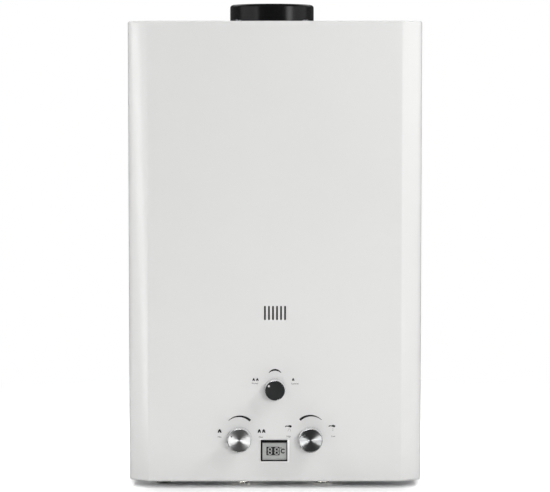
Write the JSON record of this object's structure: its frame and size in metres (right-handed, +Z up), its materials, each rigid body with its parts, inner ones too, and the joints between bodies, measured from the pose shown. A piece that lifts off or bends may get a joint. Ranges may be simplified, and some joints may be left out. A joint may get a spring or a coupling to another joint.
{
  "type": "tankless gas water heater",
  "caption": "Wall-hung portable propane water heater: steel case, round flue collar, turning knobs, digital display, burner and copper heat exchanger.",
  "frame": {"origin": "centre of the four wall-screw holes, on the back face that lies on the wall", "axes": "+Z up, along the tall side of the case; +Y out of the back, into the wall; the front faces -Y; +X to the right of someone who faces the heater"},
  "size_m": [0.3848, 0.1845, 0.639],
  "materials": {
    "painted_steel": "smooth off-white enamel",
    "galvanised_steel": "galvanised",
    "black_enamel": "gloss black enamel",
    "stainless_steel": "brushed",
    "zinc_screw": "zinc plated",
    "heat_glass": "clear, smoked by heat",
    "black_plastic": "fine matte",
    "display_panel": "grey liquid crystal panel",
    "chrome": "polished plating",
    "spun_metal": "turned, with circular grain",
    "dark_spun_metal": "dark anodised, with circular grain",
    "steel_shaft": "ground",
    "cast_alloy": "as cast",
    "brass": "machined",
    "rubber": "moulded",
    "copper": "drawn copper, lightly tarnished",
    "ceramic": "glazed white ceramic",
    "grey_plastic": "moulded",
    "cell_jacket": "printed film",
    "lead_insulation": "silicone insulation"
  },
  "bodies": {
    "heater": {"front_cover": "painted_steel", "rear_panel": "galvanised_steel", "top_panel": "painted_steel", "bottom_panel": "painted_steel", "case_screws": "zinc_screw", "flue_collar": "black_enamel", "sight_glass": "heat_glass", "sight_frame": "stainless_steel", "display_bezel": "black_plastic", "display_module": "display_panel", "gas_valve": "cast_alloy", "gas_valve_cap": "brass", "gas_spring": "stainless_steel", "diaphragm": "rubber", "gas_housing": "cast_alloy", "micro_switch": "black_plastic", "water_valve": "cast_alloy", "gas_inlet": "brass", "cold_inlet": "brass", "hot_outlet": "brass", "lock_nuts": "brass", "inlet_filter": "stainless_steel", "drain_plug": "brass", "gas_solenoid": "grey_plastic", "transfer_pipe": "stainless_steel", "sector_valve": "cast_alloy", "gas_manifold": "cast_alloy", "gas_nozzles": "brass", "burner_tray": "galvanised_steel", "burner_blades": "stainless_steel", "exchanger_shell": "copper", "fin_block": "copper", "fin_tubes": "copper", "coil_pipe": "copper", "hot_pipe": "copper", "brackets": "galvanised_steel", "draft_hood": "galvanised_steel", "electrodes": "ceramic", "overheat_cutout": "stainless_steel", "water_probe": "stainless_steel", "control_box": "grey_plastic", "battery_box": "grey_plastic", "dry_cells": "cell_jacket", "battery_contacts": "stainless_steel", "ignition_leads": "lead_insulation", "battery_lead": "lead_insulation", "display_lead": "lead_insulation"},
    "gas_control": {"gas_knob": "chrome", "gas_knob_face": "spun_metal", "gas_shaft": "steel_shaft"},
    "water_control": {"water_knob": "chrome", "water_knob_face": "spun_metal", "water_shaft": "steel_shaft"},
    "season_control": {"season_knob": "chrome", "season_knob_face": "dark_spun_metal", "season_shaft": "steel_shaft"},
    "door": {"battery_door": "grey_plastic"},
    "rod": {"push_rod": "brass"},
    "lever": {"switch_lever": "stainless_steel"}
  },
  "joints": [
    {"name": "gas_knob_turn", "type": "hinge", "parent": "heater", "child": "gas_control", "pos_m": [-0.046, -0.165, -0.2415], "axis": [0, 1, 0], "range_deg": [0, 124]},
    {"name": "water_knob_turn", "type": "hinge", "parent": "heater", "child": "water_control", "pos_m": [0.046, -0.165, -0.2415], "axis": [0, 1, 0], "range_deg": [-14, 110]},
    {"name": "season_knob_turn", "type": "hinge", "parent": "heater", "child": "season_control", "pos_m": [0, -0.165, -0.1765], "axis": [0, 1, 0], "range_deg": [0, 108]},
    {"name": "battery_door_hinge", "type": "hinge", "parent": "heater", "child": "door", "pos_m": [-0.13, -0.0903, -0.2981], "axis": [1, 0, 0], "range_deg": [0, 100]},
    {"name": "push_rod_travel", "type": "slide", "parent": "heater", "child": "rod", "axis": [-1, 0, 0], "range_m": [0, 0.004], "stiffness_N_per_m": 600, "springref_m": -0.002, "deforming": ["gas_spring"]},
    {"name": "switch_lever_swing", "type": "hinge", "parent": "heater", "child": "lever", "pos_m": [-0.0137, -0.08, -0.204], "axis": [0, 1, 0], "range_deg": [0, 8.5]}
  ],
  "couplings": [
    {"joint": "switch_lever_swing", "follows": "push_rod_travel", "rad_per_m": 37}
  ]
}
